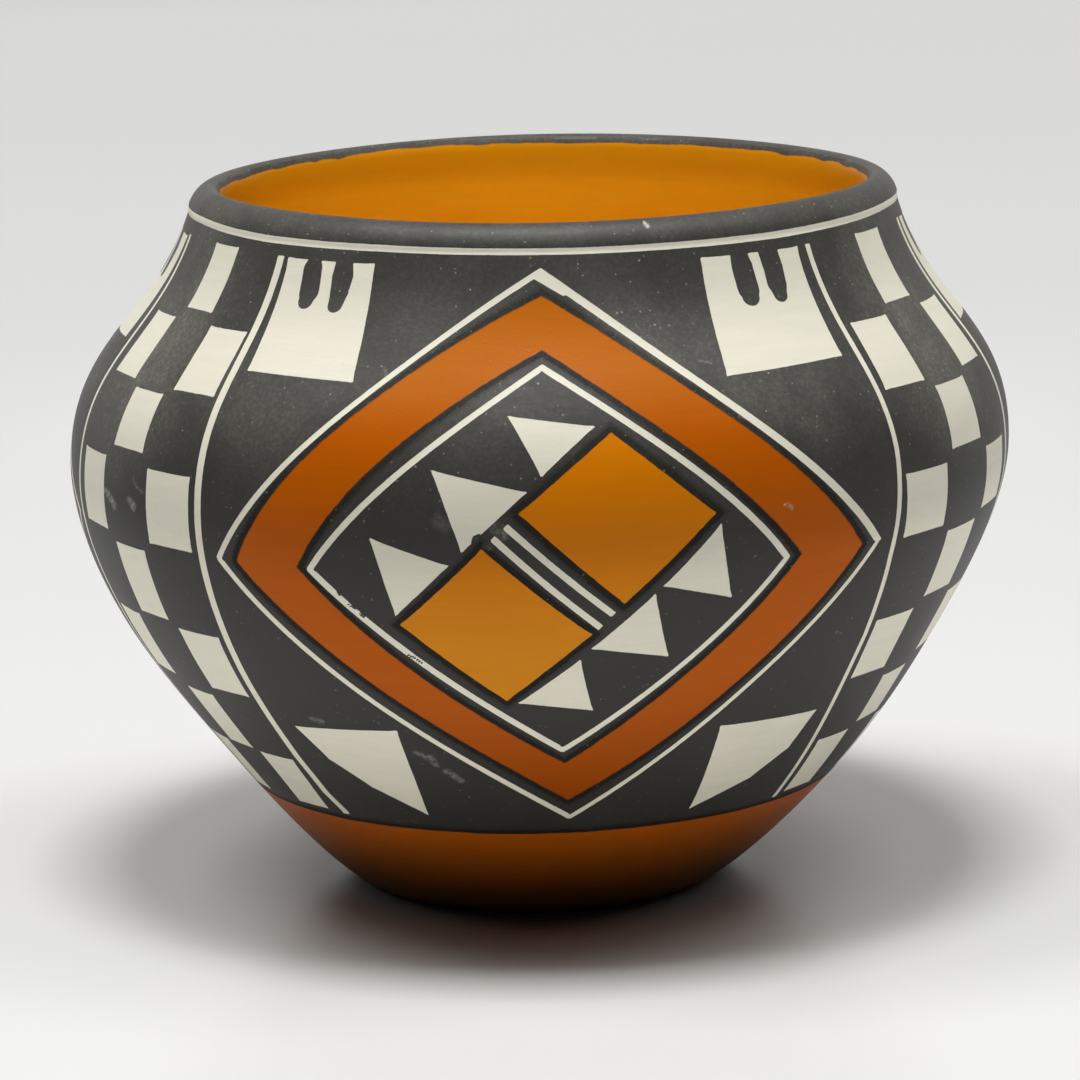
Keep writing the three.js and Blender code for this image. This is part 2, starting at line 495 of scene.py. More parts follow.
bend = turning.nodes.new("GeometryNodeInputMeshEdgeAngle").outputs["Unsigned Angle"]
sharp = maths(turning, "GREATER_THAN", bend, given["Crease Angle"])
measure = {"Name": "along", "Value": stored("along")}
moved = then(grid.outputs["Mesh"], "GeometryNodeSetPosition", {"Position": place})
measured = then(moved, "GeometryNodeStoreNamedAttribute", measure, data_type="FLOAT", domain="POINT")
closed = then(measured, "GeometryNodeMergeByDistance", {"Distance": SAME_POINT * MM})
smooth = then(closed, "GeometryNodeSetShadeSmooth", {"Shade Smooth": True}, domain="FACE")
creases = {"Selection": sharp, "Shade Smooth": False}
creased = then(smooth, "GeometryNodeSetShadeSmooth", creases, domain="EDGE")
real = then(creased, "GeometryNodeRealizeInstances")
clad = then(real, "GeometryNodeSetMaterial", {"Material": given["Clay"]})
turning.links.new(clad, result["Piece"])
print("turning tree:", len(turning.nodes), "nodes")

# %% Turn one piece
clay_socket = next(item.identifier for item in turning.interface.items_tree if item.name == "Clay")


def store(mesh, name, values):
    """Puts one number on every point of a mesh."""
    mesh.attributes.new(name, "FLOAT", "POINT").data.foreach_set("value", values.astype(np.float32))


def turned_piece(name, profile, clay):
    """Turns a profile into a closed mesh object with its material."""
    outline = bpy.data.meshes.new(name)
    points = [(r * MM, 0, h * MM) for r, h, _ in profile]
    outline.from_pydata(points, [(i, i + 1) for i in range(len(points) - 1)], [])
    store(outline, "along", profile[:, 2])
    store(outline, "lean", lean_at(profile[:, 1]) * MM)
    piece = bpy.data.objects.new(name, outline)
    bpy.context.collection.objects.link(piece)
    modifier = piece.modifiers.new("turned by hand", "NODES")
    modifier.node_group = turning
    modifier[clay_socket] = clay
    shaped = piece.evaluated_get(bpy.context.evaluated_depsgraph_get())
    mesh = bpy.data.meshes.new_from_object(shaped)
    piece.modifiers.clear()
    piece.data = mesh
    mesh.name = name
    return piece


# %% [markdown]
# ## Drawing on clay
#
# The brushwork is stored on the mesh as distances. Every skin point knows how many millimetres it lies
# inside or outside each paint, and the material turns the distance into a crisp edge. An image texture
# would blur when the camera comes near. A distance stays sharp, and the material can roughen the edge
# as a chewed yucca brush does.
#
# Two drawing planes are laid over the wall. The round plane counts degrees round the bowl, which suits
# upright lines, checks and tabs. The flat plane counts millimetres round the bowl, which suits the
# triangles and lozenges in the middle of a panel.

# %% Drawing planes
SLOPE_REACH = 0.25


class DrawingPlane:
    """Coordinates u and v on the wall, and how fast u changes round the bowl and up the clay."""

    def __init__(self, angle, along, flat):
        radius = radius_at(along)
        self.angle, self.along, self.v = angle, along, along
        if flat:
            slope = (radius_at(along + SLOPE_REACH) - radius_at(along - SLOPE_REACH)) / (2 * SLOPE_REACH)
            self.u = np.radians(angle) * radius
            self.round_rate = np.ones_like(radius)
            self.up_rate = np.radians(angle) * slope
        else:
            self.u = angle
            self.round_rate = np.degrees(1) / radius
            self.up_rate = np.zeros_like(radius)


def left_of(plane, start, end):
    """Distance in mm to the left of the line from start to end, measured on the clay."""
    across_u, across_v = start[1] - end[1], end[0] - start[0]
    steepness = np.hypot(across_u * plane.round_rate, across_u * plane.up_rate + across_v)
    return (across_u * (plane.u - start[0]) + across_v * (plane.v - start[1])) / steepness


CORNER_PULL = 0.12
CORNER_REACH = 0.9


def filled(plane, corners):
    """Distance inside a figure with straight sides, no hollow corner and slightly drawn-out corners."""
    corners = np.array(corners, float)
    x, y = corners.T
    if np.sum(x * np.roll(y, -1) - np.roll(x, -1) * y) < 0:
        corners = corners[::-1]
    sides = [left_of(plane, start, end) for start, end in zip(corners, np.roll(corners, -1, axis=0))]
    inside_by = np.minimum.reduce(sides)
    for u, v in corners:
        away = np.hypot((plane.u - u) / plane.round_rate, plane.v - v)
        inside_by = inside_by + CORNER_PULL * np.exp(-((away / CORNER_REACH) ** 2))
    return inside_by


# %% Brush strokes


def stroke(plane, start, end, width):
    """Distance inside a straight stroke with square ends."""
    run_u, run_v = (end[0] - start[0]) / plane.round_rate, end[1] - start[1]
    length = np.hypot(run_u, run_v)
    travelled = ((plane.u - start[0]) / plane.round_rate * run_u + (plane.v - start[1]) * run_v) / length
    side = width / 2 - np.abs(left_of(plane, start, end))
    return np.minimum.reduce((side, travelled, length - travelled))


def upright(plane, stations, width):
    """Distance inside a long upright line that passes through stations of height and angle."""
    heights, angles = zip(*stations)
    away = plane.angle - np.interp(height_at(plane.along), heights, angles)
    return width / 2 - np.abs(np.radians(away) * radius_at(plane.along))


def swelling(plane, stations):
    """Distance inside a stroke with round ends, through stations of height, angle and half width in mm."""
    parts = []
    for (height, angle, size), (next_height, next_angle, next_size) in zip(stations, stations[1:]):
        start = along_at(height)
        radius = radius_at(start)
        run_aside, run_up = np.radians(next_angle - angle) * radius, along_at(next_height) - start
        aside, above = np.radians(plane.angle - angle) * radius, plane.along - start
        share = np.clip((aside * run_aside + above * run_up) / (run_aside**2 + run_up**2), 0, 1)
        away = np.hypot(aside - share * run_aside, above - share * run_up)
        parts.append(size + (next_size - size) * share - away)
    return np.maximum.reduce(parts)


# %% [markdown]
# ## The lozenge
#
# The main figure of each panel is a lozenge with bowed sides. One formula draws them all: on each of its
# four sides, a and b count from the middle to two neighbouring corners, and a side is where
# a + b - bow * a * b = 1. With a bow of 0 it is straight, and with 1 it is square. A white line, a rust
# band and another white line are the same figure at four sizes.

# %% Lozenges


def from_middle(angle, height, top, right, bottom, left):
    """How far points lie aside of and above the middle of a lozenge, and how far its axis leans there."""
    middle = (right[1] + left[1]) / 2
    lean = (top[0] - bottom[0]) / (top[1] - bottom[1])
    axis = bottom[0] + lean * (height - bottom[1])
    return angle - axis, height - middle, bottom[0] + lean * (middle - bottom[1])


def of_side(aside, above, values):
    """The value of the side that a point lies in. Values are given clockwise from the upper left."""
    upper_left, upper_right, lower_right, lower_left = values
    upper = np.where(aside > 0, upper_right, upper_left)
    return np.where(above > 0, upper, np.where(aside > 0, lower_right, lower_left))


def lozenge_level(angle, height, corners, bows):
    """0 in the middle of a lozenge and 1 on its outline."""
    top, right, bottom, left = corners
    aside, above, axis = from_middle(angle, height, *corners)
    middle = (right[1] + left[1]) / 2
    a = np.where(aside > 0, aside / (right[0] - axis), aside / (left[0] - axis))
    b = np.where(above > 0, above / (top[1] - middle), above / (bottom[1] - middle))
    bow = of_side(aside, above, bows)
    return (a + b + np.sqrt(np.maximum((a + b) ** 2 - 4 * bow * a * b, 0))) / 2


def lozenge(plane, shape):
    """Distance inside a lozenge, in mm on the clay."""
    step = 0.3
    angle, along = plane.angle, plane.along
    outline = shape["corners"], shape["bows"]
    level = lozenge_level(angle, height_at(along), *outline)
    round_level = lozenge_level(angle + np.degrees(step / radius_at(along)), height_at(along), *outline)
    up_level = lozenge_level(angle, height_at(along + step), *outline)
    steepness = np.hypot(round_level - level, up_level - level) / step
    return (1 - level) / np.maximum(steepness, 1e-6)


def lozenge_line(plane, shape):
    """Distance inside the line round a lozenge, which has its own width on each side."""
    aside, above, _ = from_middle(plane.angle, height_at(plane.along), *shape["corners"])
    return of_side(aside, above, shape["widths"]) / 2 - np.abs(lozenge(plane, shape))


# %% [markdown]
# ## The painted scheme
#
# The scheme repeats three times round the bowl. Each panel has a lozenge between two tabs and two wedges,
# and a strip of checks stands between neighbouring panels. Two panels are out of the photograph's sight,
# so they repeat the visible one with the small differences of a hand that paints the same figure again.

# %% Layout round the bowl
PANEL_TURNS = (0.0, 120.5, 241.0)
# The upright lines at a panel's edges: a width in mm, then stations of height and angle.
PANEL_LINES = (
    (1.65, ((24, -39.3), (28, -41.0), (36, -42.0), (60, -42.6), (93, -43.3), (129.5, -44.0))),
    (1.2, ((24, 47.0), (58, 46.8), (74, 45.8), (93, 45.7), (129.5, 44.2))),
)
PANEL_REACH = (-49.0, 52.0)
TAB_TOP = 128.8
LINE_TOP = 129.0
LINE_FOOT = 23.4

# %% Checks between the panels
CHECK_COLUMNS_LEFT = {"near": (-53.0, -45.0), "middle": (-61.8, -54.7), "far": (-71.0, -63.6)}
CHECK_COLUMNS_RIGHT = {"near": (46.6, 54.9), "middle": (56.6, 64.6), "far": (66.3, 74.0)}
CHECK_ROWS_LEFT = (
    (129.2, 117.9), (115.8, 105.2), (104.0, 93.8), (91.3, 77.6),
    (75.6, 62.1), (60.8, 48.6), (46.5, 35.2), (34.8, 23.8),
)
CHECK_ROWS_RIGHT = (
    (129.0, 116.7), (114.9, 103.6), (102.1, 90.8), (88.6, 76.8),
    (75.2, 62.4), (60.4, 48.6), (46.2, 36.6), (35.4, 24.2),
)
CHECK_DRIFT = ((24, 2.6), (48, 1.9), (70, 1.2), (90, 0.3), (130, 0.0))
CHECK_SHAKE_ASIDE = 0.35
CHECK_SHAKE_UP = 0.4


def check(plane, column, row, drift, hand):
    """Distance inside one check, whose sides follow the drift of its strip."""
    (left, right), (top, bottom) = column, row
    if hand is not None:
        left, right = (side + hand.normal(0, CHECK_SHAKE_ASIDE) for side in (left, right))
        top, bottom = (side + hand.normal(0, CHECK_SHAKE_UP) for side in (top, bottom))
    shifts = {height: drift * np.interp(height, *zip(*CHECK_DRIFT)) for height in (top, bottom)}
    corners = ((left, top), (right, top), (right, bottom), (left, bottom))
    return filled(plane, [(angle + shifts[height], along_at(height)) for angle, height in corners])


def check_strip(plane, columns, check_rows, drift, hand):
    """A strip of checks: one in the middle, then one on each side, and so on down the wall."""
    cells = []
    for number, row in enumerate(check_rows):
        for name in ("near", "far") if number % 2 else ("middle",):
            cells.append(check(plane, columns[name], row, drift, hand))
    return np.maximum.reduce(cells)


# %% Sizes of the panel's figures
# Corners are the top, the right, the bottom and the left, as angle and height.
OUTER_LINE = {
    "corners": ((-0.7, 127.8), (42.8, 77.5), (4.1, 26.0), (-40.1, 77.5)),
    "bows": (0.44, 0.33, 0.38, 0.37),
    "widths": (1.1, 1.45, 1.0, 1.2),
}
RUST_OUTER = {
    "corners": ((-0.4, 123.8), (40.2, 77.2), (3.6, 30.1), (-37.4, 77.6)),
    "bows": (0.54, 0.40, 0.42, 0.31),
}
RUST_INNER = {
    "corners": ((-0.2, 115.1), (31.3, 77.2), (3.1, 38.5), (-28.9, 78.0)),
    "bows": (0.50, 0.35, 0.35, 0.30),
}
INNER_LINE = {
    "corners": ((-0.2, 112.3), (29.3, 77.0), (2.9, 41.6), (-27.2, 77.8)),
    "bows": (0.36, 0.35, 0.35, 0.22),
    "widths": (1.15, 1.2, 1.1, 1.3),
}
UPPER_TRIANGLES = (
    ((-6.2, 93.1), (9.0, 90.8), (-0.2, 82.1)),
    ((-19.6, 83.2), (-2.8, 79.4), (-14.0, 68.9)),
    ((-30.7, 70.9), (-16.4, 66.3), (-25.7, 56.2)),
)
LOWER_TRIANGLES = (
    ((32.2, 72.0), (34.8, 57.8), (22.0, 61.3)),
    ((20.5, 59.8), (23.3, 46.2), (9.4, 49.0)),
    ((7.4, 46.6), (9.5, 34.5), (-3.6, 36.8)),
)
UPPER_OCHRE = ((11.9, 89.5), (31.1, 74.1), (15.0, 58.3), (-4.0, 75.7))
LOWER_OCHRE = ((-10.5, 69.4), (9.3, 52.1), (-5.7, 37.4), (-24.8, 54.3))
TWIN_LINES = (((-6.4, 73.5), (13.1, 56.1)), ((-8.6, 71.4), (10.9, 53.5)))
LEFT_TAB = ((-42.3, TAB_TOP), (-26.3, TAB_TOP), (-24.8, 109.6), (-41.3, 110.0))
RIGHT_TAB = ((24.1, TAB_TOP), (41.9, TAB_TOP), (42.1, 110.2), (23.8, 109.4))
LEFT_DRIPS = (
    ((128.9, -37.0, 1.5), (127.3, -37.0, 2.1), (123.4, -36.5, 2.1), (121.9, -36.6, 1.6)),
    ((128.9, -31.5, 1.8), (126.5, -31.3, 2.2), (123.8, -31.2, 1.9), (121.6, -31.3, 1.5)),
)
RIGHT_DRIPS = (
    ((128.9, 30.6, 1.8), (126.8, 30.8, 2.2), (122.8, 31.0, 2.2), (121.5, 31.0, 1.8)),
    ((128.9, 36.0, 2.2), (126.0, 36.3, 2.2), (123.2, 36.2, 2.1), (121.3, 36.2, 1.5)),
)
TIP_STROKE = ((-1.4, 127.4), (3.2, 124.2))
LEFT_WEDGE = ((-37.8, 43.6), (-20.5, 45.2), (-21.0, 25.9), (-29.4, 31.4), (-34.9, 36.9))
RIGHT_WEDGE = ((26.2, 43.9), (43.6, 43.3), (41.5, 35.8), (36.0, 30.4), (26.2, 25.4))

# %% One panel
CORNER_SHAKE = 0.35
LOZENGE_SHAKE = 0.4
BOW_SHAKE = 0.03
LINE_SHAKE = 0.2
DRIP_SHAKE = 0.15
TWIN_LINE_WIDTH = 1.2
TIP_STROKE_WIDTH = 1.5


def shaken(points, hand, amount=CORNER_SHAKE):
    """The same corners as another stroke of the hand would put them."""
    points = np.array(points, float)
    return points if hand is None else points + hand.normal(0, amount, points.shape)


def on_round(points, hand):
    """Corners given by angle and height, as corners on the round plane."""
    return [(angle, along_at(height)) for angle, height in shaken(points, hand)]


def shaken_lozenge(shape, hand):
    """The same lozenge as the hand would draw it again."""
    if hand is None:
        return shape
    return shape | {
        "corners": shaken(shape["corners"], hand, LOZENGE_SHAKE),
        "bows": np.array(shape["bows"]) + hand.normal(0, BOW_SHAKE, 4),
    }


def panel(angle, along, hand):
    """Distances inside the cream, rust and ochre of one panel."""
    round_plane, flat_plane = DrawingPlane(angle, along, False), DrawingPlane(angle, along, True)
    within = np.minimum(along_at(LINE_TOP) - along, along - along_at(LINE_FOOT))
    cream = [np.minimum(upright(round_plane, stations, width), within) for width, stations in PANEL_LINES]
    cream += [lozenge_line(round_plane, shaken_lozenge(shape, hand)) for shape in (OUTER_LINE, INNER_LINE)]
    cream += [filled(flat_plane, shaken(figure, hand)) for figure in UPPER_TRIANGLES + LOWER_TRIANGLES]
    cream += [stroke(flat_plane, *shaken(line, hand, LINE_SHAKE), TWIN_LINE_WIDTH) for line in TWIN_LINES]
    cream.append(stroke(round_plane, *on_round(TIP_STROKE, None), TIP_STROKE_WIDTH))
    for tab, drips in ((LEFT_TAB, LEFT_DRIPS), (RIGHT_TAB, RIGHT_DRIPS)):
        holes = [-swelling(round_plane, shaken(drip, hand, DRIP_SHAKE)) for drip in drips]
        cream.append(np.minimum.reduce([filled(round_plane, on_round(tab, hand)), *holes]))
    cream += [filled(round_plane, on_round(wedge, hand)) for wedge in (LEFT_WEDGE, RIGHT_WEDGE)]
    outer, inner = (lozenge(round_plane, shaken_lozenge(shape, hand)) for shape in (RUST_OUTER, RUST_INNER))
    ochre = [filled(flat_plane, shaken(figure, hand)) for figure in (UPPER_OCHRE, LOWER_OCHRE)]
    return np.maximum.reduce(cream), np.minimum(outer, -inner), np.maximum.reduce(ochre)


# %% [markdown]
# ## The whole skin
#
# Panels and strips are laid round the bowl one after the other. Above them runs a white line under the
# lip, and below them the ochre foot begins. Inside the lip, the black of the rim ends in an uneven edge
# with a few short drips, because it was brushed on over the ochre.

# %% All paints on the skin
FAR_AWAY = -20.0
RIM_LINE = 131.4
RIM_LINE_WIDTH = 1.3
RIM_LINE_REACH = 4.0
RIM_LINE_RISES = (
    (-180, 0.4), (-70, 0.8), (-57, 0.4), (-48, 0.2), (-25, 0.3),
    (5, 0.0), (38, 0.0), (57, 0.4), (72, 0.8), (180, 0.4),
)
WALL_BELOW_DISH = 3.0
WALL_SHORT_OF_NECK = 0.5
STRIP_MARGINS = (4.0, 8.0)
PANEL_SEED = 40
STRIP_SEED = 50
CREAM_GAPS = (
    ((73.3, -23.9, 0.22), (72.9, -23.7, 0.22)),
    ((71.2, -22.9, 0.16), (70.4, -21.9, 0.2)),
    ((69.4, -21.4, 0.24), (68.9, -21.0, 0.24)),
    ((61.7, -16.0, 0.2), (61.1, -15.2, 0.2)),
    ((60.8, -15.0, 0.2), (60.1, -14.4, 0.2)),
    ((84.9, -7.0, 0.25), (84.5, -7.5, 0.3), (83.6, -7.8, 0.15)),
)


def turned_from(angle, start):
    """How many degrees round the bowl an angle lies from another one, from -180 to 180."""
    return (angle - start + 180) % 360 - 180


def painted(angle, along):
    """Distances in mm inside the cream, rust and ochre, for points given by angle and distance along."""
    cream, rust, ochre = (np.full(angle.shape, FAR_AWAY) for _ in range(3))
    wall = (along > -WALL_BELOW_DISH) & (along < along_at(NECK_HEIGHT) - WALL_SHORT_OF_NECK)
    for number, turn_angle in enumerate(PANEL_TURNS):
        hand = np.random.default_rng(PANEL_SEED + number) if number else None
        local = turned_from(angle, turn_angle)
        here = wall & (local > PANEL_REACH[0]) & (local < PANEL_REACH[1])
        paints = panel(local[here], along[here], hand)
        for whole, part in zip((cream, rust, ochre), paints):
            whole[here] = np.maximum(whole[here], part)
    strips = (
        (PANEL_TURNS[0], CHECK_COLUMNS_LEFT, CHECK_ROWS_LEFT, 0.5, None),
        (PANEL_TURNS[0], CHECK_COLUMNS_RIGHT, CHECK_ROWS_RIGHT, 1.0, None),
        (PANEL_TURNS[1], CHECK_COLUMNS_RIGHT, CHECK_ROWS_LEFT, 0.0, np.random.default_rng(STRIP_SEED)),
    )
    for turn_angle, columns, check_rows, drift, hand in strips:
        local = turned_from(angle, turn_angle)
        low = min(left for left, _ in columns.values()) - STRIP_MARGINS[0]
        high = max(right for _, right in columns.values()) + STRIP_MARGINS[1]
        here = wall & (local > low) & (local < high)
        plane = DrawingPlane(local[here], along[here], False)
        cream[here] = np.maximum(cream[here], check_strip(plane, columns, check_rows, drift, hand))
    rise = np.interp(angle, *zip(*RIM_LINE_RISES))
    rim_line = RIM_LINE_WIDTH / 2 - np.abs(along - along_at(RIM_LINE) - rise)
    near_rim = along > along_at(NECK_HEIGHT) - RIM_LINE_REACH
    cream = np.where(near_rim, np.maximum(cream, rim_line), cream)
    gaps = [-swelling(DrawingPlane(angle, along, False), gap) for gap in CREAM_GAPS]
    return np.minimum.reduce([cream, *gaps]), rust, ochre


# %% Edge of the ochre foot and of the black rim
FOOT_EDGE_TILT = 0.45
FOOT_EDGE_TURN = 0.4
FOOT_EDGE_WANDER = 0.25
RIM_EDGE_ALONG = 9.4
RIM_EDGE_WANDER = 0.55
# Drips inside the lip: an angle, then a depth and a width in mm.
INNER_TEETH = (
    (-138.5, 0.4, 1.6), (-132.4, 0.3, 1.4), (-122, 0.4, 2.2), (-168, 0.35, 3.0),
    (116, 0.35, 2.4), (106, 0.3, 2.2), (128, 0.4, 2.8), (160, 0.3, 4.0),
)
EDGE_SEED = 7
wave_turns = np.array((3, 5, 9, 14, 23, 37))
wave_sizes = np.array((0.30, 0.22, 0.18, 0.12, 0.10, 0.08))
wave_starts = np.random.default_rng(EDGE_SEED).uniform(0, 2 * math.pi, (2, len(wave_turns)))


def unsteady(angle, which):
    """How an edge that runs round the whole bowl wanders, in mm."""
    turns = np.radians(angle)[..., None] * wave_turns + wave_starts[which]
    return (np.sin(turns) * wave_sizes).sum(-1)


def ochre_grounds(angle, along):
    """Distances inside the ochre of the foot and inside the ochre lining."""
    tilt = FOOT_EDGE_TILT * np.sin(np.radians(angle) + FOOT_EDGE_TURN)
    foot_edge = -along + tilt + FOOT_EDGE_WANDER * unsteady(angle, 0)
    rim_edge = along_at(NECK_HEIGHT) + RIM_EDGE_ALONG + RIM_EDGE_WANDER * unsteady(angle, 1)
    for tooth_angle, depth, width in INNER_TEETH:
        away = np.radians(turned_from(angle, tooth_angle)) * NECK_RADIUS
        rim_edge = rim_edge + depth * np.exp(-((away / width) ** 2))
    return foot_edge, along - rim_edge


# %% Marks of use, and painted sheen
# Patches that grey the black. The two strong ones at both sides are painted sheen; the three faint ones are
# dust.
SHEEN_AND_DUST_PATCHES = (
    (1.0, 14.0, ((124, -63, 1), (100, -61, 2))),
    (1.0, 13.0, ((124, 60, 1), (100, 60, 2))),
    (0.35, 9.0, ((117.5, 12, 1), (112.5, 19, 2))),
    (0.4, 9.0, ((109, 24, 1), (103, 32, 3))),
    (0.3, 10.0, ((110, -44, 1), (103, -34, 3))),
)
SMUDGES = (
    (1.3, 0.7, ((84.9, -63.1, 0.2), (84.2, -61.6, 0.4), (82.9, -60.4, 0.5))),
    (1.3, 0.6, ((84.8, -56.6, 0.2), (83.8, -55.5, 0.6))),
    (0.8, 0.7, ((40.6, -18.9, 0.1), (39.4, -16.8, 0.5), (37.8, -16.3, 0.1))),
    (0.8, 0.7, ((36.5, -14.9, 0.4), (34.7, -13.3, 0.4))),
    (0.6, 0.9, ((86.1, -5.2, 0.4), (84.9, -4.3, 0.5))),
    (0.6, 0.6, ((83.0, -6.3, 0.1), (82.7, -5.8, 0.2))),
    (0.25, 1.0, ((87.2, -11.6, 0.6), (86.4, -10.8, 0.6))),
    (0.7, 0.7, ((46.0, -33.7, 0.2), (45.6, -32.3, 0.4))),
    (0.6, 0.6, ((119.3, 58.0, 0.2), (120.0, 59.6, 0.4))),
)
SCRATCHES = (
    (0.5, 0.3, ((89.1, -55.7, 0), (88.3, -55.5, 0), (87.4, -54.7, 0), (86.8, -53.4, 0))),
    (1.7, 0.25, ((87.1, 28.5, 0), (86.9, 29.1, 0), (86.2, 29.6, 0))),
    (0.6, 0.25, ((103.0, 24.0, 0), (102.4, 24.7, 0))),
    (0.6, 0.25, ((112.2, 20.5, 0), (111.6, 22.0, 0))),
    (0.5, 0.25, ((60.2, 40.5, 0), (59.6, 41.6, 0))),
    (0.5, 0.25, ((112.0, -21.0, 0), (110.5, -20.2, 0))),
    (1.6, 0.2, ((136.8, 15.8, 0.1), (136.0, 16.0, 0.25), (135.6, 16.2, 0.2))),
)


def marked(plane, marks):
    """How strongly points are marked. A mark has a strength, a width that it fades over and a path."""
    strength = np.zeros_like(plane.angle)
    for most, fade, path in marks:
        strength = np.maximum(strength, most * np.clip(1 + swelling(plane, path) / fade, 0, 1))
    return strength


# %% Store the paints on a piece
DEEPEST_STORED = 6.0


def read(items, name, width=1, kind=float):
    """One property of every item of a mesh, in one long array."""
    values = np.empty(len(items) * width, kind)
    items.foreach_get(name, values)
    return values


def paint(piece):
    """Stores how deep a piece's points lie in each paint. Returns how deep they lie in a coloured slip."""
    mesh = piece.data
    place = read(mesh.vertices, "co", 3).reshape(-1, 3) / MM
    along = read(mesh.attributes["along"].data, "value")
    angle = np.degrees(np.arctan2(place[:, 0] - lean_at(place[:, 2]), -place[:, 1]))
    cream, rust, ochre = painted(angle, along)
    foot_edge, lining_edge = ochre_grounds(angle, along)
    ochre = np.maximum(ochre, foot_edge)
    paints = {"cream_mm": cream, "rust_mm": rust, "ochre_mm": ochre, "lining_mm": lining_edge}
    for name, values in paints.items():
        store(mesh, name, np.clip(values, -DEEPEST_STORED, DEEPEST_STORED))
    plane = DrawingPlane(angle, along, False)
    # The patches carry dust, and painted sheen at both sides.
    for name, marks in (("sheen_and_dust_patches", SHEEN_AND_DUST_PATCHES), ("smudged", SMUDGES), ("scratched", SCRATCHES)):
        store(mesh, name, marked(plane, marks))
    mesh.attributes.remove(mesh.attributes["along"])
    return np.maximum.reduce((rust, ochre, lining_edge))


# %% [markdown]
# ## Slips and paints
#
# The bowl has four finishes. Cream slip was rubbed with a stone, so it has faint level streaks. Rust and
# yellow ochre are clay slips that soak up most of the light. The black is a mineral paint, slightly grey
# from dust, with pale grains of temper showing through, and it mirrors more of the room than the slips.
# On the shoulder, the lip and both sides its grey is partly dust and partly painted sheen. The colours
# also hold painted light and shade by height: a painted highlight and painted shade on the rust, painted
# sheen and painted shade on the ochre, a painted contact shadow at the foot and painted shade inside.
# All of them are thin coats on one clay, so one function makes both materials.
#
# What the two share is built once, as node groups: an edge that wobbles like a brush, and the grain and
# polish of the clay with the painted light, shade and sheen that change with height.

# %% Colours


def colour(red, green, blue):
    """A colour written as it looks on a screen, from 0 to 255, turned into Blender's linear values."""
    shades = np.array((red, green, blue)) / 255
    linear = np.where(shades <= 0.04045, shades / 12.92, ((shades + 0.055) / 1.055) ** 2.4)
    return (*linear.tolist(), 1.0)


BLACK = colour(48, 46, 42)
BLACK_OUTLINE = colour(36, 34, 30)
CREAM = colour(240, 235, 216)
RUST = colour(190, 91, 2)
# Painted highlight on the rust near the top.
RUST_HIGHLIGHT = colour(198, 107, 8)
# Painted shade on the rust low down.
RUST_SHADED = colour(160, 72, 1)
OCHRE = colour(222, 127, 4)
# Painted sheen on the ochre low down.
OCHRE_SHEEN = colour(222, 139, 24)
# Painted shade over the ochre foot.
SHADED_FOOT_OCHRE = colour(177, 86, 3)
# Painted contact shadow at the bottom of the foot.
CONTACT_SHADOW_OCHRE = colour(98, 56, 14)
LINING_OCHRE = colour(230, 166, 24)
# Painted shade inside, under the lip.
LINING_OCHRE_SHADED = colour(194, 126, 8)
# Pale clay: dust, grains, scratches, and the painted sheen on the black.
PALE_CLAY = colour(196, 190, 178)

# %% Brush edge group
edge_tree, given, result = new_tree(
    "brush edge",
    "ShaderNodeTree",
    {
        "Depth mm": ("Float", 0.0),
        "Wobble mm": ("Float", 0.2),
        "Softness mm": ("Float", 0.08),
    },
    {"Mask": ("Float", None)},
)
surface = edge_tree.nodes.new("ShaderNodeTexCoord").outputs["Object"]
broad = add(edge_tree, "ShaderNodeTexNoise", {"Vector": surface, "Scale": 420.0, "Detail": 2.0})
fine = add(edge_tree, "ShaderNodeTexNoise", {"Vector": surface, "Scale": 1500.0, "Detail": 1.0})
broad_push = maths(edge_tree, "SUBTRACT", broad.outputs[0], 0.5)
fine_push = maths(edge_tree, "SUBTRACT", fine.outputs[0], 0.5)
push = maths(edge_tree, "MULTIPLY_ADD", fine_push, 0.5, broad_push)
depth = maths(edge_tree, "MULTIPLY_ADD", push, given["Wobble mm"], given["Depth mm"])
softness = given["Softness mm"]
outer_side = maths(edge_tree, "MULTIPLY", softness, -1.0)
edge_tree.links.new(ramp(edge_tree, depth, outer_side, softness, curve="SMOOTHSTEP"), result["Mask"])
print("brush edge group:", len(edge_tree.nodes), "nodes")

# %% Clay surface group: streaks, clouds, grains and tooth
CLAY_PARTS = ("Streaks", "Mottle", "Grains", "Veil", "Scratches", "Painted Light And Shade", "Relief")
# Painted light and shade that changes with height, in mm: each is 0 at its first height and 1 at its second.
CLAY_HEIGHTS = {
    # Painted shade on the rust low down.
    "Rust Shade Low": (56, 32),
    # Painted sheen on the ochre low down.
    "Ochre Sheen Low": (82, 64),
    # Painted shade over the ochre foot.
    "Foot": (30, 26),
    # Painted contact shadow at the bottom of the foot.
    "Contact Shadow": (22, 6),
    # Painted highlight on the rust near the top.
    "Rust Highlight Top": (100, 112),
    # Painted shade inside, under the lip.
    "Lining Shade Under Lip": (127, 134),
}
clay_outputs = {label: ("Float", None) for label in (*CLAY_PARTS, *CLAY_HEIGHTS)}
clay_tree, _, result = new_tree("worked clay", "ShaderNodeTree", {}, clay_outputs)
surface = clay_tree.nodes.new("ShaderNodeTexCoord").outputs["Object"]
height = add(clay_tree, "ShaderNodeSeparateXYZ", {0: surface}).outputs["Z"]


def noise(scale, detail, vector=surface, roughness=0.5, distortion=0.0):
    """Noise on the clay, from 0 to 1."""
    inputs = {"Vector": vector, "Scale": scale, "Detail": detail, "Roughness": roughness}
    return add(clay_tree, "ShaderNodeTexNoise", inputs | {"Distortion": distortion}).outputs[0]


def by_height(low, high, at_low=0.0, at_high=1.0):
    """A value that changes between two heights in mm."""
    return ramp(clay_tree, height, low * MM, high * MM, at_low, at_high)


